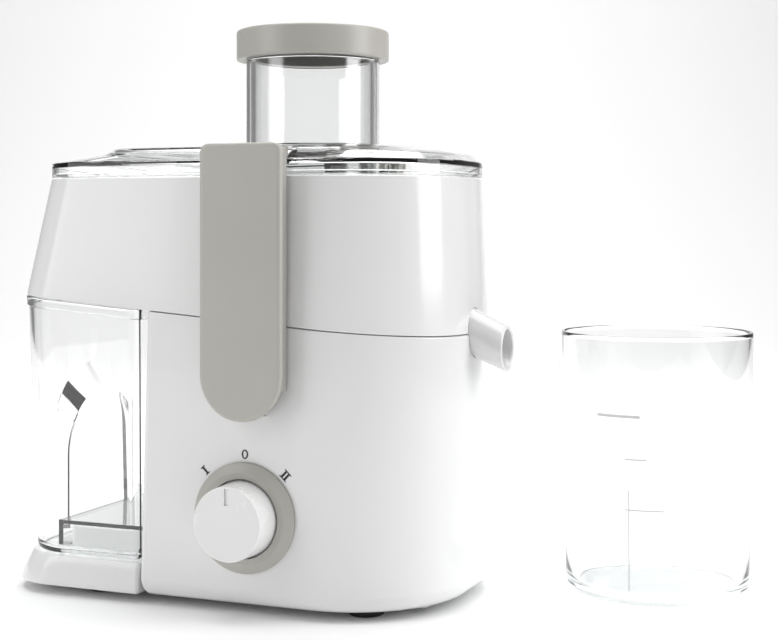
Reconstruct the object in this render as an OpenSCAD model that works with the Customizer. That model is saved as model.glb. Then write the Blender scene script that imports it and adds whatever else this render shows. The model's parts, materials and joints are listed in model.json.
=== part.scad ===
// Centrifugal juicer: motor base with a pulp bin beside it, one hood over both, a clear lid with its
// feed chute, two clamp arms, and a jug. Millimetres, +Z up, front towards -Y, juice spout towards +X.
// Origin: where the motor's axis meets the surface that the juicer stands on.

/* [Body] */
// Right-hand end of the motor base
body_right = 92; // [88:1:96]
// Half of the body's depth, front to back
half_depth = 73; // [72:0.5:76]
// Plan radius of the two right-hand corners
right_corner = 62; // [55:1:64]
// Plan radius of the two left-hand corners
left_corner = 28; // [24:1:32]
// Wall thickness of the casings
wall = 2.6; // [2:0.1:3]
// Height of the underside of the body
underside = 4.5; // [4:0.5:6]
// Height of the parting line above the motor's axis
parting = 142.5; // [141:0.5:144]
// Tilt of the parting line, rising towards the pulp bin
parting_tilt = 4.6; // [4:0.2:5]

/* [Hood and lid] */
// Height of the seam between the hood and the lid
seam = 214; // [212:0.5:216]
// Left-hand end of the lid
lid_left = -128; // [-132:1:-124]
// Right-hand end of the lid
lid_right = 88; // [86:1:90]
// Height of the lid's flat top
lid_top = 229.5; // [228:0.5:231]
// Height of the shoulder where the lid's upright side ends
lid_shoulder = 222; // [220:0.5:224]
// Outer radius of the feed chute
chute_r = 35.3; // [34:0.1:36]
// Height of the feed chute's rim
chute_top = 276.2; // [272:0.2:280]

/* [Pusher] */
// Radius of the pusher's cap
cap_r = 40.3; // [39:0.1:42]
// Height of the cap's underside, with the pusher home
cap_bottom = 276.6; // [273:0.1:281]
// Height of the cap's top
cap_top = 292; // [288:0.5:296]

/* [Pulp bin] */
// Left-hand end of the bin at its rim
bin_left = -142.2; // [-144:0.1:-140]
// Right-hand end of the bin
bin_right = -64.6; // [-66:0.1:-63.8]
// Wall thickness of the bin
bin_wall = 2.2; // [1.8:0.1:2.6]
// Height of the plinth's rim, on which the bin stands
plinth_top = 20; // [19:0.5:21]
// Height of the raised deck inside the plinth's rim
deck_top = 33.7; // [32:0.1:35]

/* [Clamp arms] */
// Width of an arm
arm_w = 43.6; // [42:0.2:45]
// Distance from the middle of the body to an arm's face
arm_face = 84; // [83.5:0.1:85]
// Height of an arm's top
arm_top = 229.3; // [228.5:0.1:229.5]
// Height of an arm's lowest point
arm_bottom = 95.4; // [95:0.1:96]
// Distance from the middle of the body to a pivot's axis
pivot_y = 77; // [76.9:0.1:77.1]
// Height of a pivot's axis
pivot_z = 101.5; // [101:0.1:102]

/* [Knob] */
// Position of the knob's axis to the right of the motor's axis
knob_x = -2.4; // [-4:0.1:0]
// Height of the knob's axis
knob_z = 47.8; // [46:0.1:50]
// Radius of the knob
knob_r = 18.7; // [18:0.1:19]
// Radius of the ring around the knob
ring_r = 27; // [26:0.1:28]

/* [Juice spout] */
// Outer radius of the spout
spout_r = 10.75; // [10:0.05:11]
// Bore radius of the spout
spout_bore = 8.9; // [8:0.1:9]
// Distance from the motor's axis to the spout's mouth
spout_end = 108; // [104:1:112]
// Height of the middle of the spout's mouth
spout_z = 127.3; // [126:0.1:129]
// Fall of the spout below the level
spout_fall = 25; // [24:1:26]

/* [Jug] */
// Position of the jug's axis to the right of the motor's axis
jug_x = 171.1; // [167:0.1:174]
// Position of the jug's axis behind the motor's axis
jug_y = 57.9; // [56:0.1:62]
// Half of the jug's width at its rim
jug_half_w = 49.3; // [45:0.1:50]
// Half of the jug's depth at its rim
jug_half_d = 49; // [40:0.5:50]
// Height of the jug
jug_h = 134.5; // [130:0.5:138]

/* [Hidden] */
$fn = 64;
eps = 0.02;
loft_fn = 48;
hood_slope = 0.246;
function hood_left(z) = lid_left - (seam - z) * hood_slope;
housing_left = -62.4;
deck_z = 131;
deck_t = 3;
shelf_z = 190;
shelf_t = 3;
shelf_hole = 65.3;
partition_x = -70;
bowl_r = 64.8;
bowl_wall = 2.4;
bowl_low_r = 60.8;
bowl_step = 151;
bowl_floor = 137;
basket_floor = 160;
basket_top = 197;
basket_low_r = 44;
basket_high_r = 58;
chute_bottom = 170;
chute_wall = 1.9;
pusher_r = 32.7;
pusher_bottom = 172;
shaft_r = 4;
shaft_bottom = 19;
shaft_top = 149;
core_z = 42;
core_h = 36;
core_half = 38;
rotor_r = 20.5;
foot_r = 9.5;
feet_at = [[-97, -50], [-97, 50], [50, -46], [50, 46]];
pin_r = 2;
ear_r = 3.6;
ear_x = 5.5;
ear_w = 4;
knuckle_r = 3.5;
screw_r = 1.7;
running = 0.05;
hook_under = 223.2;
hook_tip = 63;
pad_t = 1.0;
plunger_z = 124;
plunger_r = 3;
lower_corner = arm_w / 2;

// ---- shared shapes ----

// Plan of the body: a rectangle whose left and right corners have their own radii.
module plan(left, right, half, left_r = left_corner, right_r = right_corner, grow = 0) {
    l = left - grow;
    r = right + grow;
    h = half + grow;
    lr = max(left_r + grow, 0.5);
    rr = max(right_r + grow, 0.5);
    translate([l + lr, -h]) square([r - rr - l - lr, 2 * h]);
    translate([l, lr - h]) square([lr + eps, 2 * (h - lr)]);
    translate([r - rr - eps, rr - h]) square([rr + eps, 2 * (h - rr)]);
    for (s = [-1, 1]) {
        translate([l + lr, s * (h - lr)]) circle(lr);
        translate([r - rr, s * (h - rr)]) circle(rr);
    }
}

// Thin slice of that plan; p is [left, right, half depth, left radius, right radius, height].
module slice(p, grow = 0) {
    translate([0, 0, p[5]]) linear_extrude(eps)
        plan(p[0], p[1], p[2], p[3], p[4], grow, $fn = loft_fn);
}

// Solid whose sides run straight from slice to slice.
module loft(slices, grow = 0) {
    hull() for (p = slices) slice(p, grow);
}

// Everything below the tilted parting plane, lowered by drop.
module below_parting(drop = 0) {
    translate([0, 0, parting - drop]) rotate([0, parting_tilt, 0])
        translate([-300, -200, -300]) cube([600, 400, 300]);
}

// Everything above the tilted parting plane, lowered by drop.
module above_parting(drop = 0) {
    translate([0, 0, parting - drop]) rotate([0, parting_tilt, 0])
        translate([-300, -200, 0]) cube([600, 400, 300]);
}

// Round bar on the line of the juice spout, from a distance behind the mouth to one past it.
module spout_bar(r, back, past) {
    translate([spout_end, 0, spout_z]) rotate([0, 90 + spout_fall, 0])
        translate([0, 0, -back]) cylinder(r = r, h = back + past);
}

// Round bar along X.
module bar_x(r, x0, x1) {
    translate([x0, 0, 0]) rotate([0, 90, 0]) cylinder(r = r, h = x1 - x0);
}

// Round bar from y0 towards -Y down to y1.
module bar_y(r, y0, y1) {
    translate([0, y0, 0]) rotate([90, 0, 0]) cylinder(r = r, h = y0 - y1);
}

// ---- casings ----

hood_slices = [
    [hood_left(128), 91, half_depth, left_corner, right_corner, 128],
    [lid_left, lid_right, half_depth - 1.5, left_corner, right_corner, seam - eps]];

housing_slices = [
    [housing_left + 5, body_right - 7, half_depth - 6, 4, right_corner - 6, underside],
    [housing_left + 1.5, body_right - 2, half_depth - 1.6, 4, right_corner - 1, underside + 3],
    [housing_left, body_right, half_depth + 0.2, 4, right_corner, underside + 8.5],
    [housing_left + 4.4, body_right - 1, half_depth, 4, right_corner, 155]];

module motor_housing() {
    color([0.93, 0.93, 0.92]) difference() {
        union() {
            difference() {
                loft(housing_slices);
                intersection() {
                    loft(housing_slices, -wall);
                    translate([-200, -100, 0]) cube([400, 200, deck_z]);
                }
                intersection() {
                    loft(housing_slices, -wall);
                    translate([-200, -100, deck_z + deck_t]) cube([400, 200, 100]);
                }
                translate([-80, -58, 0]) cube([40, 116, underside + 4.8]);
            }
            for (s = [-1, 1]) for (x = [-ear_x - ear_w, ear_x]) pivot_ear(s, x);
            for (c = screws_at) translate([c[0], c[1], underside + 3.4])
                cylinder(r = 4, h = deck_z - underside - 3);
        }
        above_parting(0.3);
        translate([-80, -30, deck_z + deck_t + 0.4]) cube([40, 60, 30]);
        translate([0, 0, deck_z - 1]) cylinder(r = 13.5, h = deck_t + 2);
        translate([knob_x, -60, knob_z]) bar_y(5.2, 0, -20);
        translate([0, -60, plunger_z]) bar_y(plunger_r + 0.2, 0, -20);
        spout_bar(spout_r + 0.6, 60, 10);
        for (i = [-4:4]) translate([14 + i * 8, 60, 22]) cube([4, 20, 30]);
        for (c = screws_at) translate([c[0], c[1], underside]) cylinder(r = screw_r, h = 12);
        gland_hole();
    }
}

// One ear of a pivot: s is -1 at the front and 1 at the rear.
module pivot_ear(s, x) {
    difference() {
        union() {
            translate([0, s * pivot_y, pivot_z]) bar_x(ear_r, x, x + ear_w);
            translate([x, s > 0 ? half_depth - 1 : -pivot_y, pivot_z - ear_r])
                cube([ear_w, pivot_y - half_depth + 1, 2 * ear_r]);
        }
        translate([0, s * pivot_y, pivot_z]) bar_x(pin_r, x - 1, x + ear_w + 1);
    }
}

// Hole of the cord inlet, low in the rear wall near the right-hand end.
module gland_hole() {
    translate([-40, 60, 24]) rotate([-90, 0, 0]) cylinder(r = 6.2, h = 30);
}

module upper_housing() {
    color([0.94, 0.94, 0.93]) difference() {
        union() {
            difference() {
                loft(hood_slices);
                loft([for (p = hood_slices) [p[0], p[1], p[2], p[3], p[4], p[5] + (p[5] > 200 ? 1 : -1)]],
                    -wall);
            }
            hood_shelf();
            translate([partition_x, wall - half_depth + 0.4, 128])
                cube([wall, 2 * (half_depth - wall - 0.4), shelf_z - 127]);
        }
        below_parting(0);
        spout_bar(spout_r + 0.6, 60, 10);
    }
}

// Shelf that carries the juice bowl's flange, to the right of the pulp passage.
module hood_shelf() {
    translate([0, 0, shelf_z]) linear_extrude(shelf_t) difference() {
        intersection() {
            plan(hood_left(shelf_z), 88.6, half_depth - 1.1, grow = -wall + 0.3);
            translate([partition_x, -100]) square([200, 200]);
        }
        circle(shelf_hole);
    }
}

plinth_slices = [
    [-146, -63.4, half_depth - 0.6, left_corner, 2, underside],
    [-145.5, -63.4, half_depth - 0.4, left_corner, 2, underside + 3],
    [-142.6, -63.4, half_depth - 1, left_corner, 2, 13],
    [-139.6, -63.4, half_depth - 2.4, left_corner, 2, plinth_top - eps]];

module base_plate() {
    color([0.93, 0.93, 0.92]) difference() {
        union() {
            loft(plinth_slices);
            translate([-113.5, -57, plinth_top - 1]) deck_block(47.3, 114, deck_top - plinth_top + 1, 6);
            translate([-70, -54, underside]) cube([20, 108, 3.2]);
            translate([0, 0, underside]) linear_extrude(3)
                plan(housing_left + 8, body_right - 10, half_depth - 9, 2, right_corner - 9);
        }
        intersection() {
            translate([0, 0, -wall]) loft(plinth_slices, -wall);
            translate([-150, -80, underside + 3]) cube([86, 160, 30]);
        }
        translate([-111, -54.5, 10]) deck_block(40, 109, deck_top - 12.5, 4);
        for (i = [-5:5]) translate([i * 6 - 1.5, -22, 0]) cube([3, 44, 20]);
        for (c = feet_at) translate([c[0], c[1], 0]) cylinder(r = 2.1, h = 12);
        for (c = screws_at) translate([c[0], c[1], 0]) cylinder(r = screw_r, h = 10);
    }
}

// Block with round upright edges.
module deck_block(w, d, h, r) {
    linear_extrude(h) union() {
        translate([r, 0]) square([w - 2 * r, d]);
        translate([0, r]) square([w, d - 2 * r]);
        for (x = [r, w - r]) for (y = [r, d - r]) translate([x, y]) circle(r);
    }
}

module feet() {
    color([0.06, 0.06, 0.06]) for (c = feet_at) translate([c[0], c[1], 0]) {
        cylinder(r1 = foot_r - 1, r2 = foot_r, h = 1.2);
        translate([0, 0, 1.2]) cylinder(r = foot_r, h = underside - 1.2);
        translate([0, 0, underside]) cylinder(r = 2, h = 6.5);
    }
}

screws_at = [[-52, -50], [-52, 50], [74, -32], [74, 32]];

module base_screws() {
    color([0.7, 0.7, 0.72]) for (c = screws_at) translate([c[0], c[1], underside - 2]) {
        difference() {
            cylinder(r = 3.4, h = 2);
            for (a = [0, 90]) rotate([0, 0, a]) translate([-2, -0.4, -1]) cube([4, 0.8, 2]);
        }
        translate([0, 0, 2]) cylinder(r = screw_r, h = 10);
    }
}

// ---- juice bowl ----

module juice_bowl() {
    color([0.94, 0.94, 0.93]) difference() {
        union() {
            bowl_solid(0, bowl_floor);
            translate([0, 0, shelf_z + shelf_t]) difference() {
                cylinder(r = 68, h = 2);
                translate([-100, -100, -1]) cube([100 - 67.6, 200, 5]);
            }
        }
        difference() {
            bowl_solid(bowl_wall, bowl_floor + bowl_wall);
            cylinder(r = 18, h = bowl_floor + bowl_wall + 14);
        }
        translate([0, 0, bowl_floor - 1]) cylinder(r = 15.8, h = 40);
        intersection() {
            spout_bar(spout_bore, 60, 0);
            translate([50, -20, 90]) cube([40, 40, 80]);
        }
    }
}

// Spout on the bowl's wall, with an upright mouth.
module juice_spout() {
    color([0.94, 0.94, 0.93]) difference() {
        spout_bar(spout_r, 60, 12);
        translate([spout_end, -20, 90]) cube([40, 40, 80]);
        bowl_solid(0, bowl_floor - 20);
        spout_bar(spout_bore, 61, 20);
    }
}

// Solid of the bowl, smaller by inset and standing on z0: narrow below, wider above the step.
module bowl_solid(inset, z0) {
    top = shelf_z + shelf_t + (inset > 0 ? 10 : 0);
    rotate_extrude() polygon([[0, z0], [bowl_low_r - inset, z0], [bowl_low_r - inset, bowl_step],
        [bowl_r - inset, bowl_step + 7], [bowl_r - inset, top], [0, top]]);
}

module bowl_seal() {
    color([0.1, 0.1, 0.1]) rotate_extrude() {
        translate([14.2, bowl_floor]) square([1.6, 6]);
        translate([12.8, bowl_floor + 4.6]) square([1.6, 1.4]);
    }
}

// ---- strainer ----

module strainer_basket() {
    color([0.78, 0.79, 0.8]) rotate_extrude() polygon([
        [20, basket_floor], [basket_low_r, basket_floor], [basket_high_r, basket_top],
        [basket_high_r - 1, basket_top], [basket_low_r - 0.7, basket_floor + 1],
        [20, basket_floor + 1]]);
}

module basket_rim() {
    color([0.93, 0.93, 0.92]) rotate_extrude() polygon([
        [basket_high_r + 0.02, basket_top - 6], [basket_high_r + 1.6, basket_top - 6],
        [basket_high_r + 1.6, basket_top + 0.2], [65.6, basket_top + 0.2],
        [65.6, basket_top + 2], [basket_high_r - 1, basket_top + 2],
        [basket_high_r - 1, basket_top], [basket_high_r + 0.02, basket_top]]);
}

module basket_hub() {
    color([0.93, 0.93, 0.92]) difference() {
        union() {
            translate([0, 0, 144]) cylinder(r = 22.5, h = basket_floor - 144);
            translate([0, 0, basket_floor]) cylinder(r = 19.9, h = 1);
        }
        difference() {
            translate([0, 0, 143]) cylinder(r = 20.5, h = 13);
            translate([0, 0, 143]) cylinder(r = 15, h = 13);
        }
        translate([0, 0, 143]) cylinder(r = 11.4, h = 10);
    }
}

module cutter_disc() {
    color([0.8, 0.81, 0.82]) {
        difference() {
            translate([0, 0, basket_floor + 1]) cylinder(r = 42, h = 1.2);
            for (a = [0:60:300]) rotate([0, 0, a]) translate([14, 0, 0]) cylinder(r = 1.6, h = 200);
        }
        for (ring = [0:5]) for (i = [0:5 + 4 * ring]) rotate([0, 0, i * 360 / (6 + 4 * ring)])
            translate([9 + ring * 5.6, -0.9, basket_floor + 2.2]) cube([0.9, 1.8, 1.4]);
        translate([0, 0, basket_floor + 2.2]) cylinder(r = 5, h = 3);
    }
}

// ---- motor ----

module motor_shaft() {
    color([0.75, 0.76, 0.78])
        translate([0, 0, shaft_bottom]) cylinder(r = shaft_r, h = shaft_top - shaft_bottom);
}

module drive_coupling() {
    color([0.15, 0.15, 0.16]) difference() {
        union() {
            translate([0, 0, 135]) cylinder(r = 10.5, h = 5);
            translate([0, 0, 140]) cylinder(r = 9.4, h = 12.8);
            for (a = [0:60:300]) rotate([0, 0, a]) translate([8.6, -1.2, 140]) cube([2.4, 2.4, 12.8]);
        }
        translate([0, 0, 130]) cylinder(r = shaft_r, h = 19);
    }
}

module shaft_seal() {
    color([0.1, 0.1, 0.1]) difference() {
        translate([0, 0, deck_z - 3]) cylinder(r = 13.4, h = 6.6);
        translate([0, 0, deck_z - 4]) cylinder(r = 4.5, h = 10);
        translate([0, 0, deck_z - 4]) cylinder(r = 11.6, h = 8);
    }
}

module stator_core() {
    color([0.45, 0.46, 0.48]) translate([0, 0, core_z]) linear_extrude(core_h) difference() {
        square(2 * core_half, center = true);
        circle(rotor_r + 0.8);
        for (s = [-1, 1]) translate([s * 26, 0]) square([9, 46], center = true);
        for (x = [-1, 1]) for (y = [-1, 1]) translate([x * 33, y * 33]) circle(2.2);
    }
}

module stator_windings() {
    color([0.72, 0.42, 0.2]) for (s = [-1, 1]) for (z = [core_z - 8, core_z + core_h])
        translate([s * 26, 0, z]) difference() {
            translate([-4.3, -22, 0]) cube([8.6, 44, 8]);
            translate([-2, -19, -1]) cube([4, 38, 10]);
        }
}

module rotor_core() {
    color([0.5, 0.5, 0.52]) translate([0, 0, core_z]) difference() {
        cylinder(r = rotor_r, h = core_h);
        translate([0, 0, -1]) cylinder(r = shaft_r, h = core_h + 2);
        for (a = [0:30:330]) rotate([0, 0, a]) translate([16, -1.2, -1]) cube([6, 2.4, core_h + 2]);
    }
}

module rotor_windings() {
    color([0.72, 0.42, 0.2]) for (z = [core_z - 6, core_z + core_h]) translate([0, 0, z]) difference() {
        cylinder(r = 17, h = 6);
        translate([0, 0, -1]) cylinder(r = shaft_r, h = 8);
    }
}

module commutator() {
    color([0.75, 0.5, 0.3]) translate([0, 0, 24.5]) difference() {
        cylinder(r = 11, h = 11);
        translate([0, 0, -1]) cylinder(r = shaft_r, h = 13);
        for (a = [0:30:330]) rotate([0, 0, a]) translate([8, -0.3, -1]) cube([4, 0.6, 13]);
    }
}

module cooling_fan() {
    color([0.2, 0.2, 0.22]) translate([0, 0, 90]) difference() {
        union() {
            cylinder(r = 9, h = 12);
            cylinder(r = 31, h = 1.4);
            for (a = [0:36:324]) rotate([0, 0, a]) translate([8, -0.7, 0]) cube([22, 1.4, 11]);
        }
        translate([0, 0, -1]) cylinder(r = shaft_r, h = 15);
    }
}

// Bridge across the motor; its cup holds a bearing and its legs stand on the core.
module bracket(z, leg, up) {
    translate([0, 0, z]) difference() {
        union() {
            translate([-38, -9, up ? 0 : 2]) cube([76, 18, 4]);
            if (!up) translate([-6, -30, 2]) cube([12, 60, 4]);
            translate([0, 0, up ? -4 : 0]) cylinder(r = 14, h = 10);
            for (s = [-1, 1]) translate([s > 0 ? 34 : -38, -9, up ? -leg : 2]) cube([4, 18, leg + 2]);
        }
        translate([0, 0, -10]) cylinder(r = 11, h = 30);
    }
}

module upper_bracket() {
    color([0.6, 0.61, 0.63]) bracket(108, 108 - core_z - core_h, true);
}

module lower_bracket() {
    color([0.6, 0.61, 0.63]) bracket(12.5, core_z - 16.5, false);
}

module bearing(z) {
    translate([0, 0, z]) difference() {
        cylinder(r = 11, h = 7);
        translate([0, 0, -1]) cylinder(r = shaft_r + running, h = 9);
        for (face = [-0.6, 6.4]) translate([0, 0, face]) difference() {
            cylinder(r = 9, h = 1.2);
            translate([0, 0, -1]) cylinder(r = 6.5, h = 4);
        }
    }
}

module upper_bearing() {
    color([0.8, 0.8, 0.82]) bearing(105);
}

module lower_bearing() {
    color([0.8, 0.8, 0.82]) bearing(14.5);
}

module brush_holders() {
    color([0.25, 0.2, 0.15]) for (s = [-1, 1]) translate([0, s * 21.5, 30]) {
        difference() {
            cube([9, 18, 9], center = true);
            cube([5.2, 19, 5.2], center = true);
        }
        translate([-3, -4, -11.5]) cube([6, 8, 7]);
    }
}

module carbon_brushes() {
    color([0.1, 0.1, 0.1]) for (s = [-1, 1]) translate([0, s * 18.6, 30]) cube([5, 14.6, 5], center = true);
}

module motor_screws() {
    color([0.7, 0.7, 0.72]) for (x = [-1, 1]) for (y = [-1, 1]) translate([x * 33, y * 33, 0]) {
        translate([0, 0, core_z - 3]) cylinder(r = 4, h = 3);
        translate([0, 0, core_z]) cylinder(r = 2, h = core_h + 6);
    }
}

module motor_mounts() {
    color([0.08, 0.08, 0.08]) for (x = [-1, 1]) for (y = [-1, 1])
        translate([x * 33, y * 33, underside + 3]) difference() {
            cylinder(r = 6.5, h = core_z - underside - 3);
            translate([0, 0, core_z - underside - 6.2]) cylinder(r = 4.2, h = 10);
        }
}

// ---- speed knob ----

module speed_ring() {
    color([0.67, 0.66, 0.63]) translate([knob_x, 0, knob_z]) rotate([90, 0, 0]) rotate_extrude()
        polygon([[19.4, half_depth + 0.25], [ring_r, half_depth + 0.25], [ring_r, half_depth + 1.8],
            [ring_r - 1, half_depth + 2.6], [22.4, half_depth + 4.2], [19.4, half_depth + 4.2]]);
}

module speed_knob() {
    color([0.95, 0.95, 0.94]) translate([knob_x, 0, knob_z]) difference() {
        union() {
            translate([0, -half_depth - 0.8, 0]) rotate([90, 0, 0])
                cylinder(r1 = knob_r, r2 = knob_r - 0.7, h = 17.2);
            translate([0, -half_depth - 18, 0]) rotate([90, 0, 0])
                cylinder(r1 = knob_r - 0.7, r2 = knob_r - 2.2, h = 1.6);
        }
        translate([0, -half_depth, 0]) bar_y(14, 0.5, -15);
        translate([-1.6, -half_depth - 20.2, 8.5]) cube([3.2, 1.6, 8]);
    }
}

module knob_spindle() {
    color([0.6, 0.6, 0.62]) translate([knob_x, 0, knob_z]) bar_y(3, -46, -half_depth - 15);
}

module rotary_switch() {
    color([0.2, 0.2, 0.22]) translate([knob_x, 0, knob_z]) difference() {
        union() {
            translate([-15, -70, -13]) cube([30, 20, 26]);
            bar_y(5, -69, -77.4);
        }
        bar_y(3 + running, -45, -80);
    }
}

module switch_nut() {
    color([0.7, 0.7, 0.72]) translate([knob_x, -half_depth - 0.3, knob_z]) rotate([90, 0, 0]) difference() {
        cylinder(r = 8, h = 2.6, $fn = 6);
        translate([0, 0, -1]) cylinder(r = 5, h = 5);
    }
}

// ---- clamp arms ----

// Outline of an arm in width and height, drawn in smaller by inset.
module arm_outline(inset = 0) {
    r = lower_corner - inset;
    top_r = 4.4 - inset / 2;
    zc = arm_bottom + lower_corner;
    translate([0, zc]) circle(r);
    translate([-r, zc]) square([2 * r, arm_top - inset - top_r - zc]);
    translate([top_r - r, zc]) square([2 * (r - top_r), arm_top - inset - zc]);
    for (s = [-1, 1]) translate([s * (r - top_r), arm_top - inset - top_r]) circle(top_r);
}

// The outline as a plate between two distances in front of the middle of the body.
module arm_plate(y_in, y_out, inset) {
    translate([0, -y_in, 0]) rotate([90, 0, 0]) linear_extrude(y_out - y_in) arm_outline(inset);
}

module arm_face_plate() {
    color([0.67, 0.66, 0.63]) arm_plate(80.9, arm_face, 0);
}

module arm_frame() {
    color([0.62, 0.61, 0.58]) difference() {
        union() {
            difference() {
                arm_plate(74.2, 80.88, 1.1);
                translate([-30, -100, 90]) cube([60, 60, 20.5]);
                difference() {
                    arm_plate(73, 79, 3.4);
                    for (z = [135, 165, 195]) translate([-20, -82, z]) cube([40, 10, 2]);
                    translate([-30, -100, 90]) cube([60, 60, 42]);
                }
            }
            translate([0, -pivot_y, pivot_z]) bar_x(knuckle_r, 0.3 - ear_x, ear_x - 0.3);
            translate([0.3 - ear_x, -80.88, pivot_z]) cube([2 * ear_x - 0.6, 6.4, 12]);
            translate([-16, -80.88, hook_under]) cube([32, 80.88 - hook_tip, arm_top - 1.1 - hook_under]);
        }
        translate([0, -pivot_y, pivot_z]) bar_x(pin_r + running, -12, 12);
    }
}

module arm_pad() {
    color([0.12, 0.12, 0.12])
        translate([-14, -70.5, hook_under - pad_t]) cube([28, 70.5 - hook_tip - 0.5, pad_t]);
}

module front_arm_face() arm_face_plate();
module front_arm_frame() arm_frame();
module front_arm_pad() arm_pad();
module rear_arm_face() rotate([0, 0, 180]) arm_face_plate();
module rear_arm_frame() rotate([0, 0, 180]) arm_frame();
module rear_arm_pad() rotate([0, 0, 180]) arm_pad();

module pivot_pins() {
    color([0.75, 0.76, 0.78]) for (s = [-1, 1]) translate([0, s * pivot_y, pivot_z])
        bar_x(pin_r, -ear_x - ear_w, ear_x + ear_w);
}

module interlock_plunger() {
    color([0.9, 0.5, 0.2]) translate([0, 0, plunger_z]) {
        bar_y(plunger_r, -62, -73.6);
        bar_y(plunger_r + 2, -60, -62);
    }
}

module interlock_switch() {
    color([0.15, 0.15, 0.16]) {
        translate([-10, -58, deck_z - 16]) cube([20, 8, 16]);
        translate([-1, -59.6, plunger_z - 4]) cube([2, 1.6, 4]);
    }
}

module power_board() {
    color([0.2, 0.4, 0.25]) {
        translate([48, -25, underside + 3]) cube([1.6, 50, 60]);
        translate([49.6, -16, 30]) cube([12, 14, 22]);
        translate([49.6, 4, 34]) cube([8, 12, 12]);
    }
}

module cord_gland() {
    color([0.1, 0.1, 0.1]) translate([-40, 0, 24]) rotate([-90, 0, 0]) difference() {
        union() {
            translate([0, 0, half_depth + 0.2]) cylinder(r = 8.4, h = 2);
            translate([0, 0, 66]) cylinder(r = 6.1, h = half_depth - 65.8);
            translate([0, 0, 66]) cylinder(r = 8, h = 3.6);
        }
        translate([0, 0, 60]) cylinder(r = 3.6, h = 20);
    }
}

// ---- lid and pusher ----

lid_slices = [
    [lid_left, lid_right, half_depth - 1.5, left_corner, right_corner, seam + 0.3],
    [lid_left - 0.3, lid_right, half_depth - 1.5, left_corner, right_corner, lid_shoulder],
    [lid_left + 30, lid_right - 6, half_depth - 10, left_corner - 4, right_corner - 10, lid_top - 3],
    [lid_left + 34, lid_right - 22, half_depth - 13, left_corner - 4, right_corner - 16,
        lid_top - eps]];

module lid() {
    color([0.85, 0.88, 0.9, 0.35]) difference() {
        union() {
            difference() {
                loft(lid_slices);
                translate([0, 0, -2.2]) loft(lid_slices, -2.2);
                for (s = [-1, 1]) hook_pocket(s, 0);
            }
            for (s = [-1, 1]) intersection() {
                loft(lid_slices);
                difference() {
                    hook_pocket(s, 2);
                    hook_pocket(s, 0);
                }
            }
            lid_skirt();
        }
        translate([0, 0, chute_bottom]) cylinder(r = chute_r, h = 200);
    }
}

// Round chute through the lid, down to just above the strainer.
module feed_chute() {
    color([0.85, 0.88, 0.9, 0.35]) translate([0, 0, chute_bottom]) difference() {
        cylinder(r = chute_r, h = chute_top - chute_bottom);
        translate([0, 0, -1]) cylinder(r = chute_r - chute_wall, h = 200);
    }
}

// Seat in the lid's edge for the hook of a clamp arm; s is -1 at the front and 1 at the rear.
module hook_pocket(s, grow) {
    y0 = hook_tip - 2.4 - grow;
    translate([-17.6 - grow, s > 0 ? y0 : -y0 - 20, hook_under - pad_t - 1.1 - grow])
        cube([35.2 + 2 * grow, 20, 20]);
}

// Skirt that centres the lid inside the hood's upper edge.
module lid_skirt() {
    translate([0, 0, seam - 4]) linear_extrude(6) difference() {
        plan(lid_left, lid_right, half_depth - 1.5, grow = -wall - 1.8);
        plan(lid_left, lid_right, half_depth - 1.5, grow = -wall - 3.6);
    }
    translate([0, 0, seam + 0.3]) linear_extrude(1.7) difference() {
        plan(lid_left, lid_right, half_depth - 1.5, grow = -1);
        plan(lid_left, lid_right, half_depth - 1.5, grow = -wall - 3.6);
    }
}

module lid_seal() {
    color([0.75, 0.76, 0.77]) translate([0, 0, seam - 2.8]) linear_extrude(2) difference() {
        plan(lid_left, lid_right, half_depth - 1.5, grow = -wall - 0.35);
        plan(lid_left, lid_right, half_depth - 1.5, grow = -wall - 1.8);
    }
}

module pusher_body() {
    color([0.85, 0.88, 0.9, 0.35]) difference() {
        translate([0, 0, pusher_bottom]) cylinder(r = pusher_r, h = cap_bottom + 6 - pusher_bottom);
        translate([0, 0, pusher_bottom + 2]) cylinder(r = pusher_r - 2, h = 200);
    }
}

module pusher_cap() {
    color([0.67, 0.66, 0.63]) difference() {
        rotate_extrude() polygon([[0, cap_bottom], [cap_r - 0.5, cap_bottom], [cap_r, cap_bottom + 0.6],
            [cap_r, cap_top - 2], [cap_r - 0.6, cap_top - 0.6], [cap_r - 2, cap_top], [0, cap_top]]);
        translate([0, 0, cap_bottom - 1]) cylinder(r = pusher_r, h = 7);
        translate([0, 0, cap_bottom]) cylinder(r = pusher_r - 2, h = cap_top - cap_bottom - 3);
    }
}

// ---- pulp bin ----

bin_slices = [
    [bin_left + 4.6, bin_right - 0.6, half_depth - 4, left_corner - 2, 5, plinth_top + 0.4],
    [bin_left, bin_right, half_depth - 2, left_corner - 2, 5, 158]];

module pulp_bin() {
    color([0.85, 0.88, 0.9, 0.35]) difference() {
        union() {
            difference() {
                loft(bin_slices);
                difference() {
                    translate([0, 0, bin_wall]) loft(bin_slices, -bin_wall);
                    translate([-117.4, -61, 0]) cube([80, 122, deck_top + 0.6 + bin_wall]);
                }
            }
            bin_lip();
            intersection() {
                loft(bin_slices);
                grip_pocket(bin_wall);
            }
        }
        grip_pocket(0);
        translate([-115.2, -58.8, 0]) cube([80, 117.6, deck_top + 0.6]);
        above_parting(0.6);
    }
}

// Band that thickens the bin's mouth, just below the hood.
module bin_lip() {
    difference() {
        loft(bin_slices, 1);
        loft(bin_slices, -bin_wall + 0.4);
        below_parting(5.6);
    }
}

// Arched grip recess in the bin's left-hand end, with sloping sides.
module grip_pocket(grow) {
    hull() {
        translate([bin_left - 6, 0, 0]) arch_slice(34 + grow, 27 - grow, 80.7, 6);
        translate([bin_left + 11 + grow, 0, 0]) arch_slice(31.5 + grow, 28.5 - grow, 65.5, eps);
    }
}

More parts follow.
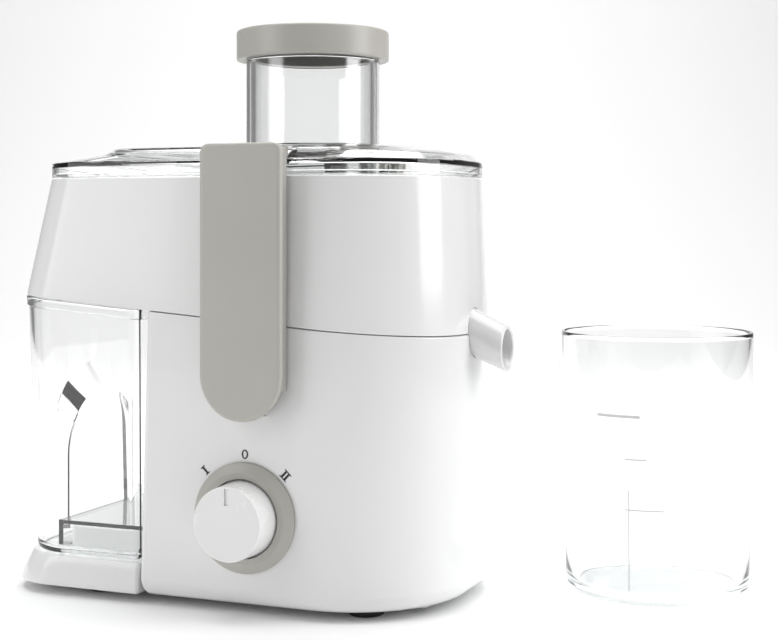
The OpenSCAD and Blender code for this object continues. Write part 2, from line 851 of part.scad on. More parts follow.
// Upright arch, w wide each way from the middle, with its foot at z0 and its round top centred at zc.
module arch_slice(w, z0, zc, t) {
    rotate([90, 0, 90]) linear_extrude(t) union() {
        translate([0, zc]) circle(w, $fn = loft_fn);
        translate([-w, z0]) square([2 * w, zc - z0]);
    }
}

// ---- jug ----

// Plan of the jug: an oval drawn in or out by grow.
module jug_slice(z, grow) {
    translate([jug_x, jug_y, z]) linear_extrude(eps)
        scale([1, (jug_half_d + grow) / (jug_half_w + grow), 1]) circle(jug_half_w + grow, $fn = 60);
}

module jug_loft(grow, lift) {
    hull() {
        jug_slice(lift, grow - 6.5);
        jug_slice(lift + 1.6, grow - 3.4);
        jug_slice(lift + 5, grow - 2);
        jug_slice(jug_h - eps + lift, grow);
    }
}

// Rounded lip at the jug's left-hand end, proud of the wall near the rim.
module jug_lip(grow) {
    translate([jug_x - jug_half_w + 5, jug_y, 0]) hull() {
        translate([2, 0, 99]) cylinder(r = 2 + grow, h = 1, $fn = 32);
        translate([0, 0, 107]) cylinder(r = 10 + grow, h = 5, $fn = 32);
        translate([2, 0, jug_h - 1]) cylinder(r = 8 + grow, h = 1 + (grow < 0 ? 2 : 0), $fn = 32);
    }
}

module jug() {
    color([0.85, 0.88, 0.9, 0.35]) difference() {
        union() {
            jug_loft(0, 0);
            jug_lip(0);
        }
        jug_loft(-2, 2.6);
        jug_lip(-2);
    }
}

base_plate();
motor_housing();
upper_housing();
juice_bowl();
juice_spout();
bowl_seal();
feet();
base_screws();
speed_ring();
speed_knob();
knob_spindle();
rotary_switch();
switch_nut();
stator_core();
stator_windings();
upper_bracket();
lower_bracket();
upper_bearing();
lower_bearing();
brush_holders();
carbon_brushes();
motor_screws();
motor_mounts();
motor_shaft();
rotor_core();
rotor_windings();
commutator();
cooling_fan();
drive_coupling();
shaft_seal();
strainer_basket();
basket_hub();
basket_rim();
cutter_disc();
lid();
feed_chute();
lid_seal();
pusher_body();
pusher_cap();
front_arm_face();
front_arm_frame();
front_arm_pad();
rear_arm_face();
rear_arm_frame();
rear_arm_pad();
pivot_pins();
interlock_plunger();
interlock_switch();
power_board();
cord_gland();
pulp_bin();
jug();
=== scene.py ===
import json
import math

import bmesh
import bpy
from mathutils import Matrix, Vector


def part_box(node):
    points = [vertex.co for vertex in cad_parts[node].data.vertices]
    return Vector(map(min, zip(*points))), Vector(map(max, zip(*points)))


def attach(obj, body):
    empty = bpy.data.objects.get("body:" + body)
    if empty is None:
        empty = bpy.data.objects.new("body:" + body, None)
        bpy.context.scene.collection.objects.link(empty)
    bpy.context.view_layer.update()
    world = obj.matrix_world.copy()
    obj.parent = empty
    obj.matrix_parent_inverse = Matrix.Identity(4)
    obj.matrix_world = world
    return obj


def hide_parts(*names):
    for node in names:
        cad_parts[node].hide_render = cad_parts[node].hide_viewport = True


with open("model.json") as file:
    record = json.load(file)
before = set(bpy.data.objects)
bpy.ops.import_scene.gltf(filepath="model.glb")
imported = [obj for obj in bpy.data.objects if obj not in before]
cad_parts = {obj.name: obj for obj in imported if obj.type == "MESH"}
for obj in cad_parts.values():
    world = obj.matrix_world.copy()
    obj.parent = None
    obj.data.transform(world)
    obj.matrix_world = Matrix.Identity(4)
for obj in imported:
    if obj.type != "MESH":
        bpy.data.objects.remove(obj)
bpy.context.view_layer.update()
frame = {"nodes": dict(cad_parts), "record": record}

MM = 0.001

# ---------------------------------------------------------------- sizes, in millimetres

HALF_DEPTH = 73.0
LEFT_CORNER = 28.0
RIGHT_CORNER = 62.0
WALL = 2.6
PARTING = 142.5
PARTING_FALL = math.tan(math.radians(4.6))
SEAM = 214.0
LID_LEFT = -128.0
LID_RIGHT = 88.0
LID_TOP = 229.5
CHUTE_R = 35.3
CHUTE_WALL = 1.9
CHUTE_BOTTOM = 170.0
CHUTE_TOP = 276.2
ARM_HALF = 21.8
ARM_FACE_Y = 84.0
PIVOT_Y, PIVOT_Z = 77.0, 101.5


def mm_box(node):
    """Lowest and highest corner of a CAD node, in millimetres."""
    low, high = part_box(node)
    return low / MM, high / MM


# ---------------------------------------------------------------- mesh building

def build(name, verts, faces, body, slot, material, replaces=(), smooth_angle=35):
    """A mesh object from millimetre points, riding on a body and standing for CAD nodes."""
    mesh = bpy.data.meshes.new(name)
    mesh.from_pydata([tuple(c * MM for c in v) for v in verts], [], faces)
    obj = bpy.data.objects.new(name, mesh)
    bpy.context.scene.collection.objects.link(obj)
    return dress(obj, body, material, replaces, smooth_angle)


def apply_modifiers(obj):
    """Turns an object's modifiers into mesh."""
    bpy.context.view_layer.update()
    obj.data = bpy.data.meshes.new_from_object(obj.evaluated_get(bpy.context.evaluated_depsgraph_get()))
    obj.modifiers.clear()


def dress(obj, body, material, replaces=(), smooth_angle=35):
    """Normals, shading, material and the frame's bookkeeping for a finished piece."""
    mesh = obj.data
    bm = bmesh.new()
    bm.from_mesh(mesh)
    bmesh.ops.recalc_face_normals(bm, faces=bm.faces)
    bm.to_mesh(mesh)
    bm.free()
    mesh.shade_smooth()
    mesh.set_sharp_from_angle(angle=math.radians(smooth_angle))
    mesh.materials.clear()
    mesh.materials.append(material)
    weighted = obj.modifiers.new("weighted", "WEIGHTED_NORMAL")
    weighted.keep_sharp = True
    apply_modifiers(obj)
    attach(obj, body)
    if replaces:
        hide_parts(*replaces)
    return obj


def stitch(rings, loop=False, cap_first=False, cap_last=False):
    """Vertices and faces of a skin over rings that all have the same number of points."""
    verts = [p for ring in rings for p in ring]
    n = len(rings[0])
    faces = []
    pairs = [(i, i + 1) for i in range(len(rings) - 1)]
    if loop:
        pairs.append((len(rings) - 1, 0))
    for a, b in pairs:
        for k in range(n):
            k2 = (k + 1) % n
            faces.append((a * n + k, a * n + k2, b * n + k2, b * n + k))
    if cap_first:
        faces.append(tuple(range(n)))
    if cap_last:
        faces.append(tuple((len(rings) - 1) * n + k for k in range(n)))
    return verts, faces


def fillet(points, steps=4):
    """A line of (a, b, radius) points with each corner turned into an arc of that radius."""
    out = []
    for i, (a, b, r) in enumerate(points):
        if r <= 0 or i in (0, len(points) - 1):
            out.append((a, b))
            continue
        here = Vector((a, b))
        before = Vector(points[i - 1][:2]) - here
        after = Vector(points[i + 1][:2]) - here
        angle = before.angle(after)
        reach = min(r / math.tan(angle / 2), 0.49 * before.length, 0.49 * after.length)
        p0 = here + before.normalized() * reach
        p1 = here + after.normalized() * reach
        for s in range(steps + 1):
            t = s / steps
            p = p0 * (1 - t) ** 2 + here * 2 * t * (1 - t) + p1 * t ** 2
            out.append((p.x, p.y))
    return out


def arc_points(cx, cy, r, degrees):
    """Points of an arc about a centre, one for each angle."""
    return [(cx + r * math.cos(math.radians(a)), cy + r * math.sin(math.radians(a))) for a in degrees]


def plan_ring(plan, z=0.0, grow=0.0, arc=12, side=8, end=4):
    """Points round a casing's plan, always as many, so that rings of different plans join up.

    A plan is the left end, the right end, the half depth, and the left and the right corner radius.
    """
    left, right, half, left_r, right_r = plan
    left, right, half = left - grow, right + grow, half + grow
    left_r, right_r = max(left_r + grow, 0.3), max(right_r + grow, 0.3)
    corners = [(right - right_r, -half + right_r, right_r, -90),
               (right - right_r, half - right_r, right_r, 0),
               (left + left_r, half - left_r, left_r, 90),
               (left + left_r, -half + left_r, left_r, 180)]
    points = []
    for i, (cx, cy, r, start) in enumerate(corners):
        points += arc_points(cx, cy, r, [start + 90 * k / arc for k in range(arc + 1)])
        next_x, next_y, next_r, next_start = corners[(i + 1) % 4]
        p, q = points[-1], arc_points(next_x, next_y, next_r, [next_start])[0]
        count = end if i in (0, 2) else side
        points += [(p[0] + (q[0] - p[0]) * k / count, p[1] + (q[1] - p[1]) * k / count)
                   for k in range(1, count)]
    return [(x, y, z) for x, y in points]


def parting_z(x, drop=0.0):
    """Height of the tilted parting plane over x."""
    return PARTING - PARTING_FALL * x - drop


class Wall:
    """A casing's side wall, straight from its plan at a low height to its plan at a high one."""

    def __init__(self, low_plan, low_z, high_plan, high_z, arc=12):
        self.low_plan, self.low_z, self.high_plan, self.high_z = low_plan, low_z, high_plan, high_z
        self.arc = arc

    def ring(self, grow, z=None, drop=None):
        """The wall's ring at a height, or, with drop, where it meets the parting plane that much lower."""
        low = plan_ring(self.low_plan, self.low_z, grow, self.arc)
        high = plan_ring(self.high_plan, self.high_z, grow, self.arc)
        out = []
        for a, b in zip(low, high):
            rise = self.high_z - self.low_z
            if drop is None:
                t = (z - self.low_z) / rise
            else:
                t = (parting_z(a[0], drop) - self.low_z) / (rise + PARTING_FALL * (b[0] - a[0]))
            out.append((a[0] + (b[0] - a[0]) * t, a[1] + (b[1] - a[1]) * t, self.low_z + rise * t))
        return out


def lathe(profile, segments=96, loop=True, place=None):
    """Vertices and faces of a turned piece; profile is (radius, height), and place moves the result."""
    rings = [[(r * math.cos(2 * math.pi * k / segments), r * math.sin(2 * math.pi * k / segments), z)
              for k in range(segments)] for r, z in profile]
    if place is not None:
        rings = [[tuple(place @ Vector(p)) for p in ring] for ring in rings]
    if loop:
        return stitch(rings, loop=True)
    return stitch(rings, cap_first=True, cap_last=True)


def cut(obj, tool):
    """Cuts the tool's shape out of an object; the tool is removed."""
    modifier = obj.modifiers.new("cut", "BOOLEAN")
    modifier.operation = "DIFFERENCE"
    modifier.solver = "EXACT"
    modifier.object = tool
    apply_modifiers(obj)
    bpy.data.objects.remove(tool)
    return obj


def raw(verts, faces, name="tool"):
    """A bare object to cut with."""
    mesh = bpy.data.meshes.new(name)
    mesh.from_pydata([tuple(c * MM for c in v) for v in verts], [], faces)
    bm = bmesh.new()
    bm.from_mesh(mesh)
    bmesh.ops.recalc_face_normals(bm, faces=bm.faces)
    bm.to_mesh(mesh)
    bm.free()
    obj = bpy.data.objects.new(name, mesh)
    bpy.context.scene.collection.objects.link(obj)
    return obj


def bevel(obj, width, segments=3, angle=35):
    """Rounds the sharp edges of an object, applied."""
    modifier = obj.modifiers.new("bevel", "BEVEL")
    modifier.width = width * MM
    modifier.segments = segments
    modifier.limit_method = "ANGLE"
    modifier.angle_limit = math.radians(angle)
    modifier.harden_normals = False
    apply_modifiers(obj)
    return obj


def join_parts(parts):
    """One list of vertices and faces from several."""
    verts, faces = [], []
    for v, f in parts:
        base = len(verts)
        verts += v
        faces += [tuple(base + i for i in face) for face in f]
    return verts, faces


def box_part(low, high):
    """Vertices and faces of a block."""
    (x0, y0, z0), (x1, y1, z1) = low, high
    ring0 = [(x0, y0, z0), (x1, y0, z0), (x1, y1, z0), (x0, y1, z0)]
    return stitch([ring0, [(x, y, z1) for x, y, _ in ring0]], cap_first=True, cap_last=True)


def bar(r, start, axis, length, segments=48):
    """Vertices and faces of a round bar from start along axis."""
    turn = Vector((0, 0, 1)).rotation_difference(Vector(axis)).to_matrix().to_4x4()
    place = Matrix.Translation(Vector(start)) @ turn
    return lathe([(r, 0), (r, length)], segments, loop=False, place=place)


# ---------------------------------------------------------------- materials

def new_material(name):
    """An empty node material and its shader."""
    material = bpy.data.materials.new(name)
    material.use_nodes = True
    tree = material.node_tree
    return material, tree.nodes, tree.links, tree.nodes["Principled BSDF"]


def noise(nodes, links, coords, scale, detail=4.0, roughness=0.5):
    """A noise texture in the object's own coordinates."""
    node = nodes.new("ShaderNodeTexNoise")
    node.inputs["Scale"].default_value = scale
    node.inputs["Detail"].default_value = detail
    node.inputs["Roughness"].default_value = roughness
    links.new(coords, node.inputs["Vector"])
    return node


def ramp_to(nodes, links, source, low, high, stops=(0.35, 0.65)):
    """Maps a texture's value to a range between two numbers."""
    node = nodes.new("ShaderNodeMapRange")
    node.inputs["From Min"].default_value, node.inputs["From Max"].default_value = stops
    node.inputs["To Min"].default_value, node.inputs["To Max"].default_value = low, high
    links.new(source, node.inputs["Value"])
    return node.outputs["Result"]


def tint(nodes, links, factor, a, b):
    """A colour between a and b."""
    node = nodes.new("ShaderNodeMix")
    node.data_type = "RGBA"
    node.inputs["A"].default_value = (*a, 1)
    node.inputs["B"].default_value = (*b, 1)
    links.new(factor, node.inputs["Factor"])
    return node.outputs["Result"]


def object_coords(nodes):
    """The object's own coordinates, so that a texture rides with its piece."""
    return nodes.new("ShaderNodeTexCoord").outputs["Object"]


def moulded(name, color, roughness, grain=0.0, coat=0.0, spread=0.02, wear=0.03, grain_scale=1400.0):
    """Moulded plastic: faint colour drift, a roughness that wanders, moulding waves and a fine grain."""
    material, nodes, links, shader = new_material(name)
    coords = object_coords(nodes)
    drift = noise(nodes, links, coords, 14.0, 3.0)
    darker = tuple(c * (1 - spread) for c in color)
    lighter = tuple(min(1.0, c * (1 + spread)) for c in color)
    mixed = tint(nodes, links, ramp_to(nodes, links, drift.outputs["Fac"], 0, 1), darker, lighter)
    links.new(mixed, shader.inputs["Base Color"])
    handling = noise(nodes, links, coords, 55.0, 6.0, 0.65)
    links.new(ramp_to(nodes, links, handling.outputs["Fac"], roughness - wear, roughness + wear),
              shader.inputs["Roughness"])
    shader.inputs["IOR"].default_value = 1.5
    shader.inputs["Coat Weight"].default_value = coat
    shader.inputs["Coat Roughness"].default_value = 0.06
    waves = nodes.new("ShaderNodeBump")
    waves.inputs["Strength"].default_value = 0.06
    waves.inputs["Distance"].default_value = 0.0004
    links.new(noise(nodes, links, coords, 22.0, 2.0).outputs["Fac"], waves.inputs["Height"])
    fine = nodes.new("ShaderNodeBump")
    fine.inputs["Strength"].default_value = grain
    fine.inputs["Distance"].default_value = 0.00008
    links.new(noise(nodes, links, coords, grain_scale, 3.0).outputs["Fac"], fine.inputs["Height"])
    links.new(waves.outputs["Normal"], fine.inputs["Normal"])
    links.new(fine.outputs["Normal"], shader.inputs["Normal"])
    return material


def clear(name, color=(0.996, 0.998, 0.998), roughness=0.0, haze=0.012):
    """Clear moulded plastic: smooth, with faint flow waves and a slight haze that comes and goes."""
    material, nodes, links, shader = new_material(name)
    coords = object_coords(nodes)
    shader.inputs["Transmission Weight"].default_value = 1.0
    shader.inputs["IOR"].default_value = 1.49
    flow = noise(nodes, links, coords, 18.0, 3.0)
    edge = tuple(c * 0.994 for c in color)
    links.new(tint(nodes, links, ramp_to(nodes, links, flow.outputs["Fac"], 0, 1), edge, color),
              shader.inputs["Base Color"])
    links.new(ramp_to(nodes, links, noise(nodes, links, coords, 70.0, 5.0).outputs["Fac"],
                      roughness, roughness + haze), shader.inputs["Roughness"])
    waves = nodes.new("ShaderNodeBump")
    waves.inputs["Strength"].default_value = 0.05
    waves.inputs["Distance"].default_value = 0.0004
    links.new(flow.outputs["Fac"], waves.inputs["Height"])
    links.new(waves.outputs["Normal"], shader.inputs["Normal"])
    through = nodes.new("ShaderNodeBsdfTransparent")
    through.inputs["Color"].default_value = (0.95, 0.96, 0.96, 1)
    mix = nodes.new("ShaderNodeMixShader")
    links.new(nodes.new("ShaderNodeLightPath").outputs["Is Shadow Ray"], mix.inputs["Fac"])
    links.new(shader.outputs["BSDF"], mix.inputs[1])
    links.new(through.outputs["BSDF"], mix.inputs[2])
    links.new(mix.outputs["Shader"], nodes["Material Output"].inputs["Surface"])
    return material


def metal(name, color, roughness, streak=(1, 1, 1), streak_scale=300.0, depth=0.1, spread=0.12):
    """Bare metal with directional streaks, which run along the axis whose streak number is small."""
    material, nodes, links, shader = new_material(name)
    coords = object_coords(nodes)
    mapping = nodes.new("ShaderNodeMapping")
    mapping.inputs["Scale"].default_value = streak
    links.new(coords, mapping.inputs["Vector"])
    streaks = noise(nodes, links, mapping.outputs["Vector"], streak_scale, 5.0, 0.6)
    darker = tuple(c * (1 - spread) for c in color)
    links.new(tint(nodes, links, ramp_to(nodes, links, streaks.outputs["Fac"], 0, 1), darker, color),
              shader.inputs["Base Color"])
    shader.inputs["Metallic"].default_value = 1.0
    links.new(ramp_to(nodes, links, streaks.outputs["Fac"], roughness * 0.7, roughness * 1.3),
              shader.inputs["Roughness"])
    bump = nodes.new("ShaderNodeBump")
    bump.inputs["Strength"].default_value = depth
    bump.inputs["Distance"].default_value = 0.0001
    links.new(streaks.outputs["Fac"], bump.inputs["Height"])
    links.new(bump.outputs["Normal"], shader.inputs["Normal"])
    return material


def striped(name, dark, light, scale, axis, metallic, roughness):
    """Thin layers one on another: laminations, or turns of wire."""
    material, nodes, links, shader = new_material(name)
    coords = object_coords(nodes)
    wave = nodes.new("ShaderNodeTexWave")
    wave.bands_direction = axis
    wave.inputs["Scale"].default_value = scale
    wave.inputs["Distortion"].default_value = 0.6
    wave.inputs["Detail"].default_value = 2.0
    links.new(coords, wave.inputs["Vector"])
    links.new(tint(nodes, links, wave.outputs["Fac"], dark, light), shader.inputs["Base Color"])
    shader.inputs["Metallic"].default_value = metallic
    links.new(ramp_to(nodes, links, noise(nodes, links, coords, 80.0).outputs["Fac"],
                      roughness - 0.05, roughness + 0.08), shader.inputs["Roughness"])
    bump = nodes.new("ShaderNodeBump")
    bump.inputs["Strength"].default_value = 0.6
    bump.inputs["Distance"].default_value = 0.0003
    links.new(wave.outputs["Fac"], bump.inputs["Height"])
    links.new(bump.outputs["Normal"], shader.inputs["Normal"])
    return material


MATERIALS = {
    "white_gloss": moulded("white_gloss_plastic", (0.79, 0.79, 0.79), 0.2, 0.05, coat=0.35, spread=0.008),
    "knob_white": moulded("knob_white_plastic", (0.82, 0.82, 0.82), 0.26, 0.1, coat=0.2, spread=0.008),
    "warm_grey": moulded("warm_grey_plastic", (0.45, 0.438, 0.402), 0.34, 0.25, spread=0.012),
    "grey_frame": moulded("grey_frame_plastic", (0.36, 0.352, 0.325), 0.42, 0.35, spread=0.015),
    "clear_plastic": clear("clear_plastic"),
    "black_rubber": moulded("black_rubber", (0.018, 0.018, 0.018), 0.62, 0.6, spread=0.2,
                            grain_scale=900.0),
    "grey_rubber": moulded("grey_rubber", (0.5, 0.51, 0.52), 0.6, 0.4, spread=0.04),
    "stainless": metal("stainless_sheet", (0.66, 0.66, 0.67), 0.26, (1, 1, 0.1), 260.0),
    "bright_steel": metal("ground_steel", (0.68, 0.68, 0.7), 0.16, (1, 1, 4), 500.0, 0.05),
    "lamination_steel": striped("lamination_steel", (0.12, 0.12, 0.13), (0.34, 0.34, 0.36), 300.0, "Z",
                                0.9, 0.42),
    "copper": striped("copper_winding", (0.42, 0.15, 0.06), (0.8, 0.36, 0.17), 340.0, "Y", 0.9, 0.3),
    "zinc_steel": metal("zinc_plated_steel", (0.58, 0.6, 0.62), 0.34, (1, 1, 1), 90.0, 0.08, 0.2),
    "dark_plastic": moulded("dark_plastic", (0.045, 0.045, 0.05), 0.4, 0.4, spread=0.08),
    "carbon": moulded("pressed_carbon", (0.03, 0.03, 0.03), 0.55, 0.8, spread=0.3),
    "board_green": moulded("circuit_board", (0.03, 0.14, 0.06), 0.3, 0.2, spread=0.2),
    "orange_plastic": moulded("orange_plastic", (0.75, 0.22, 0.04), 0.38, 0.2),
}
INK = moulded("printed_ink", (0.02, 0.02, 0.022), 0.45, 0.1, spread=0.1)
SCALE_MARK = moulded("moulded_scale", (0.66, 0.67, 0.68), 0.5, 0.1)
JUG_CLEAR = clear("jug_clear_plastic", (0.965, 0.967, 0.969))


# ---------------------------------------------------------------- casings

HOUSING = Wall((-62.4, 92.0, HALF_DEPTH + 0.2, 4, RIGHT_CORNER), 13.0,
               (-58.0, 91.0, HALF_DEPTH, 4, RIGHT_CORNER), 155.0)
HOOD_SLOPE = 0.246
HOOD = Wall((LID_LEFT - (SEAM - 128) * HOOD_SLOPE, 91.0, HALF_DEPTH, LEFT_CORNER, RIGHT_CORNER), 128.0,
            (LID_LEFT, LID_RIGHT, HALF_DEPTH - 1.5, LEFT_CORNER, RIGHT_CORNER), SEAM)
UNDERSIDE = 4.5
KNOB_X, KNOB_Z = -2.4, 47.8
SPOUT_MOUTH = Vector((108.0, 0.0, 127.3))
SPOUT_FALL = math.radians(25)
SPOUT_DIR = Vector((math.cos(SPOUT_FALL), 0, -math.sin(SPOUT_FALL)))
SPOUT_R, SPOUT_BORE = 10.75, 8.9
GLAND_X, GLAND_Z = -40.0, 24.0
DECK_Z, DECK_T = 131.0, 3.0
SHELF_Z, SHELF_T, SHELF_HOLE = 190.0, 3.0, 65.3
EARS_X, EAR_W, EAR_R = (-9.8, 5.5), 4.3, 3.6
SCREWS = [(-52, -50), (-52, 50), (74, -32), (74, 32)]
PLINTH_LEFT, PLINTH_RIGHT, PLINTH_TOP, PLINTH_LEAN = -146.0, -63.4, 20.0, 6.4


def spout_tool(r):
    """Bar along the spout, to cut its way through the walls."""
    start = SPOUT_MOUTH - SPOUT_DIR * 60
    return raw(*bar(r, start, SPOUT_DIR, 66, 64))


def motor_housing():
    """Shell with a rolled-in lower edge, the spout's hole, vents at the back and the cord's hole."""
    outer, inner = [], []
    steps, reach, rise = 7, 6.5, 8.5
    for k in range(steps):
        a = math.radians(90 * k / steps)
        inset, z = -reach * (1 - math.sin(a)), UNDERSIDE + rise * (1 - math.cos(a))
        outer.append([(x, y, z) for x, y, _ in HOUSING.ring(inset, z=13.0)])
        inner.append([(x, y, z) for x, y, _ in HOUSING.ring(inset - WALL, z=13.0)])
    outer += [HOUSING.ring(0, z=13.0), HOUSING.ring(0, z=60.0), HOUSING.ring(0, z=100.0),
              HOUSING.ring(0, drop=1.1), HOUSING.ring(-0.25, drop=0.55), HOUSING.ring(-0.8, drop=0.3)]
    inner += [HOUSING.ring(-WALL, z=13.0), HOUSING.ring(-WALL, drop=0.9),
              HOUSING.ring(-WALL + 0.5, drop=0.3)]
    shell = raw(*stitch(outer + inner[::-1], loop=True), name="motor_housing_shell")
    shell = cut(shell, spout_tool(SPOUT_R + 0.6))
    vents = [box_part((14 + i * 8, 60, 22), (18 + i * 8, 80, 52)) for i in range(-4, 5)]
    shell = cut(shell, raw(*join_parts(vents)))
    shell = cut(shell, raw(*bar(6.2, (GLAND_X, 60, GLAND_Z), (0, 1, 0), 30)))
    return dress(shell, "base", MATERIALS["white_gloss"], ["motor_housing"], 30)


def motor_housing_inside():
    """Deck under the bowl, pivot ears and screw posts of the motor housing."""
    deck_plan = (-56.0, 88.6, HALF_DEPTH - WALL + 0.3, 2, RIGHT_CORNER - WALL)
    parts = [annulus(deck_plan, 13.5, DECK_Z, DECK_Z + DECK_T)]
    for s in (-1, 1):
        for x in EARS_X:
            parts.append(bar(EAR_R, (x, s * PIVOT_Y, PIVOT_Z), (1, 0, 0), EAR_W, 32))
            y0, y1 = sorted((s * (HALF_DEPTH - 1), s * PIVOT_Y))
            parts.append(box_part((x, y0, PIVOT_Z - EAR_R), (x + EAR_W, y1, PIVOT_Z + EAR_R)))
    for x, y in SCREWS:
        parts.append(bar(4, (x, y, UNDERSIDE + 3.4), (0, 0, 1), DECK_Z - UNDERSIDE - 3, 32))
    return build("motor_housing_inside", *join_parts(parts), "base", "white_gloss",
                 MATERIALS["white_gloss"], ["motor_housing"])


def annulus(plan, hole_r, z0, z1):
    """Plate with a plan's outline and a round hole on the motor's axis."""
    edge = plan_ring(plan)
    turned = [math.atan2(y, x) for x, y, _ in edge]
    hole = [(hole_r * math.cos(a), hole_r * math.sin(a)) for a in turned]
    rings = [[(x, y, z0) for x, y, _ in edge], [(x, y, z1) for x, y, _ in edge],
             [(x, y, z1) for x, y in hole], [(x, y, z0) for x, y in hole]]
    return stitch(rings, loop=True)


def upper_housing():
    """Hood with rounded rims, open at the top for the lid and below for the bin."""
    rings = [HOOD.ring(0, drop=-0.9), HOOD.ring(-0.25, drop=-0.3), HOOD.ring(-0.9, drop=0.0),
             HOOD.ring(-WALL + 0.4, drop=0.0), HOOD.ring(-WALL, drop=-0.6),
             HOOD.ring(-WALL, z=180.0), HOOD.ring(-WALL, z=SEAM - 0.5), HOOD.ring(-WALL + 0.4, z=SEAM),
             HOOD.ring(-0.9, z=SEAM), HOOD.ring(-0.25, z=SEAM - 0.3), HOOD.ring(0, z=SEAM - 1.0),
             HOOD.ring(0, z=180.0)]
    shell = raw(*stitch(rings, loop=True), name="upper_housing_shell")
    shell = cut(shell, spout_tool(SPOUT_R + 0.6))
    return dress(shell, "base", MATERIALS["white_gloss"], ["upper_housing"], 30)


def hood_inside():
    """Shelf for the bowl's flange and the partition beside the pulp passage."""
    shelf_plan = (-70.0, 86.4, HALF_DEPTH - 3.4, 1, RIGHT_CORNER - WALL)
    half = HALF_DEPTH - 3.2
    wall_x0, wall_x1 = -70.0, -67.4
    low = [(wall_x0, -half, parting_z(wall_x0)), (wall_x1, -half, parting_z(wall_x1)),
           (wall_x1, half, parting_z(wall_x1)), (wall_x0, half, parting_z(wall_x0))]
    high = [(x, y, SHELF_Z + 0.5) for x, y, _ in low]
    parts = [annulus(shelf_plan, SHELF_HOLE, SHELF_Z, SHELF_Z + SHELF_T),
             stitch([low, high], cap_first=True, cap_last=True)]
    return build("hood_inside", *join_parts(parts), "base", "white_gloss",
                 MATERIALS["white_gloss"], ["upper_housing"])


def base_plate():
    """Plinth with the raised deck under the bin, slotted floor under the motor, and their bridge."""
    def flare(t):
        """Plan of the plinth's side: upright at the foot, leaning in towards the rim."""
        lean = t ** 1.6
        return (PLINTH_LEFT + PLINTH_LEAN * lean, PLINTH_RIGHT, HALF_DEPTH - 0.6 - 1.8 * lean,
                LEFT_CORNER, 2)

    foot, rim = flare(0), flare(1)
    rings = [plan_ring(foot, UNDERSIDE, -1.0), plan_ring(foot, UNDERSIDE + 0.4, -0.2)]
    rings += [plan_ring(flare(t), UNDERSIDE + (PLINTH_TOP - UNDERSIDE) * t)
              for t in (0.08, 0.2, 0.35, 0.5, 0.65, 0.8, 0.94)]
    rings += [plan_ring(rim, PLINTH_TOP - 0.3, -0.2), plan_ring(rim, PLINTH_TOP, -0.9)]
    deck = (-113.5, -66.2, 57.0, 6, 6)
    deck_steps = ((0.0, 2.2), (0.6, 0.7), (2.0, 0.0), (12.2, 0.0), (13.3, -0.4), (13.7, -1.5))
    rings += [plan_ring(deck, PLINTH_TOP + rise, grow) for rise, grow in deck_steps]
    plinth_piece = build("plinth", *stitch(rings, cap_first=True, cap_last=True), "base", "white_gloss",
                         MATERIALS["white_gloss"], ["base_plate"], 30)
    floor_plan = (-54.4, 82.0, HALF_DEPTH - 9, 2, RIGHT_CORNER - 9)
    plate = stitch([plan_ring(floor_plan, z) for z in (UNDERSIDE, UNDERSIDE + 3)],
                   cap_first=True, cap_last=True)
    floor = raw(*plate, name="base_floor")
    slots = [box_part((i * 6 - 1.5, -22, 0), (i * 6 + 1.5, 22, 20)) for i in range(-5, 6)]
    floor = cut(floor, raw(*join_parts(slots)))
    dress(floor, "base", MATERIALS["white_gloss"], ["base_plate"])
    bridge = box_part((-66, -54, UNDERSIDE + 0.1), (-50, 54, UNDERSIDE + 3.2))
    build("base_bridge", *bridge, "base", "white_gloss", MATERIALS["white_gloss"], ["base_plate"])
    return plinth_piece


def feet():
    """Four rubber feet."""
    low, high = mm_box("feet")
    foot_r, tall = 9.5, UNDERSIDE + 0.3
    xs = (low.x + foot_r, high.x - foot_r)
    ys = {xs[0]: 50.0, xs[1]: 46.0}
    profile = fillet([(0.01, 0, 0), (foot_r - 1, 0, 0.8), (foot_r - 0.1, tall * 0.35, 1.2),
                      (foot_r, tall, 0.0), (0.01, tall, 0)])
    parts = []
    for x in xs:
        for s in (-1, 1):
            place = Matrix.Translation((x, s * ys[x], 0))
            parts.append(lathe(profile, 48, loop=False, place=place))
    return build("feet_rubber", *join_parts(parts), "base", "black_rubber",
                 MATERIALS["black_rubber"], ["feet"])


# ---------------------------------------------------------------- juice bowl and strainer

def juice_bowl():
    """Bowl with a flange over the shelf, a stepped side and a tube round the shaft."""
    r, low_r, wall = 64.8, 60.8, 2.4
    floor, step, top = 137.0, 151.0, 193.0
    bore, tube, flange, shoulder = 15.8, 18, 67.9, step + 7
    tube_top = floor + wall + 14
    outer = fillet([(bore, floor, 0), (low_r, floor, 2.5), (low_r, step, 2), (r, shoulder, 2), (r, top, 0)])
    inner = fillet([(flange, top, 0), (flange, top + 2, 0.6), (r - wall, top + 2, 0.8),
                    (r - wall, shoulder, 2), (low_r - wall, step, 2), (low_r - wall, floor + wall, 5),
                    (tube, floor + wall, 3), (tube, tube_top, 0.8), (bore, tube_top, 0)])
    bowl = raw(*lathe(outer + inner, 128), name="juice_bowl_shell")
    bowl = cut(bowl, spout_tool(SPOUT_BORE))
    return dress(bowl, "base", MATERIALS["white_gloss"], ["juice_bowl"])


